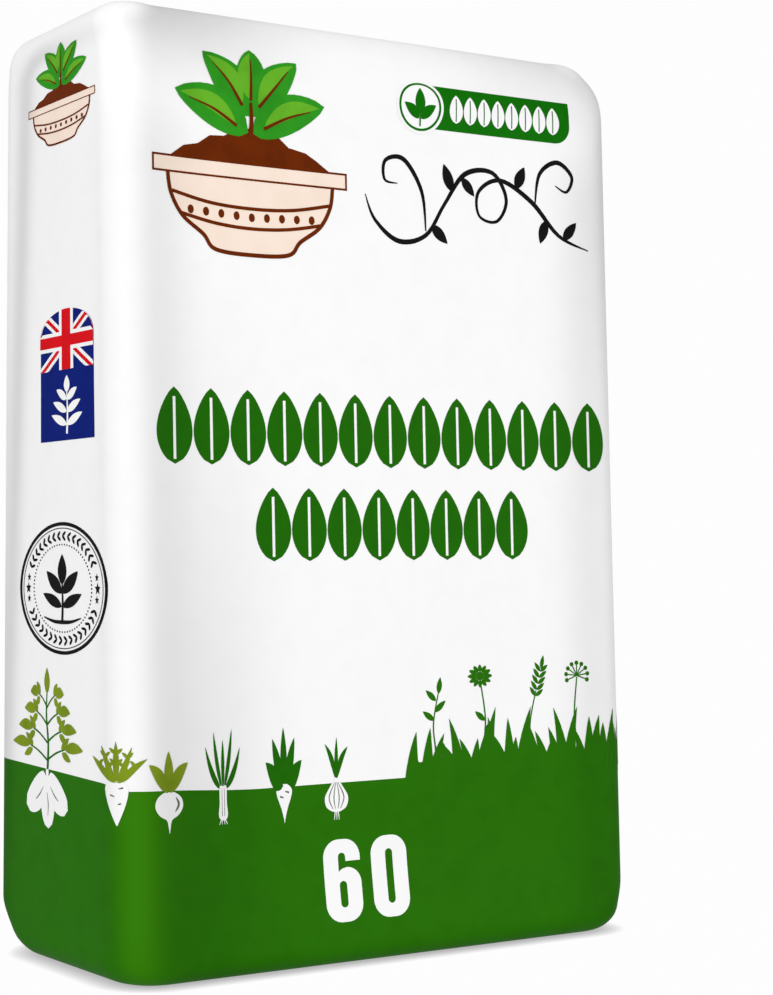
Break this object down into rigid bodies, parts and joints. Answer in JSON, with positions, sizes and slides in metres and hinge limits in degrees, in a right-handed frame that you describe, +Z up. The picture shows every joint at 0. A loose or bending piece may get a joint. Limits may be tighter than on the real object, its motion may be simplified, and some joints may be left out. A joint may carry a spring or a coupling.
{
  "type": "compost bag",
  "caption": "Filled and sealed upright sack of compost: a soft block of printed white film with rounded edges and a flat base to stand on.",
  "frame": {"origin": "on the floor, under the middle of the sack", "axes": "+Z up, X across the width, the printed front faces -Y"},
  "size_m": [0.428, 0.2284, 0.665],
  "materials": {
    "film": "printed polythene film, satin"
  },
  "bodies": {
    "root": {"bag": "film"}
  },
  "joints": []
}
